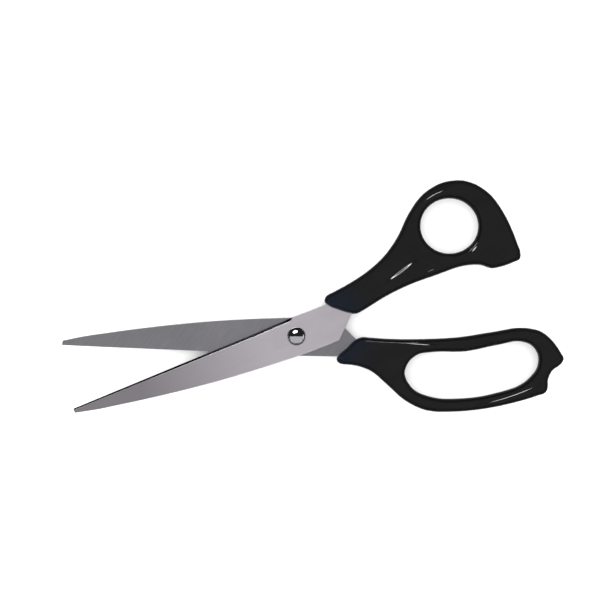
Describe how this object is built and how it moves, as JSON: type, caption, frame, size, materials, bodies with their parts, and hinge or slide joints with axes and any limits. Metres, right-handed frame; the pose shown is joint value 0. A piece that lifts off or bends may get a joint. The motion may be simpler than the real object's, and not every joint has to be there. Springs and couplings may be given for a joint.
{
  "type": "fabric shears",
  "caption": "Dressmaking shears with ground steel blades on a domed pivot, a round thumb bow and a long finger bow in moulded black handles, shown partly open.",
  "frame": {"origin": "under the middle of the whole outline, on the plane that the shears lie on", "axes": "+X from the blade tips toward the bows, +Y toward the thumb bow, +Z along the pivot out of the domed side"},
  "size_m": [0.2508, 0.1163, 0.012],
  "materials": {
    "blade_steel": "fine ground satin, with a polished cutting bevel",
    "handle_plastic": "moulded, satin to semi-gloss black",
    "pivot_chrome": "mirror polish",
    "washer_steel": "plain turned steel",
    "screw_steel": "plain turned steel"
  },
  "bodies": {
    "finger_half": {"rear_blade": "blade_steel", "finger_handle": "handle_plastic", "rear_washer": "washer_steel"},
    "thumb_half": {"front_blade": "blade_steel", "thumb_handle": "handle_plastic", "pivot_nut": "pivot_chrome", "front_washer": "pivot_chrome", "spring_washer": "washer_steel"},
    "tension_screw": {"pivot_screw": "screw_steel"}
  },
  "joints": [
    {"name": "blade_pivot", "type": "hinge", "parent": "finger_half", "child": "thumb_half", "pos_m": [-0.0081, -0.02, 0.006], "axis": [0, 0, 1], "range_deg": [-16.4, 104]},
    {"name": "tension_turn", "type": "hinge", "parent": "thumb_half", "child": "tension_screw", "pos_m": [-0.0081, -0.02, 0.006], "axis": [0, 0, 1], "range_deg": [-90, 90]}
  ]
}
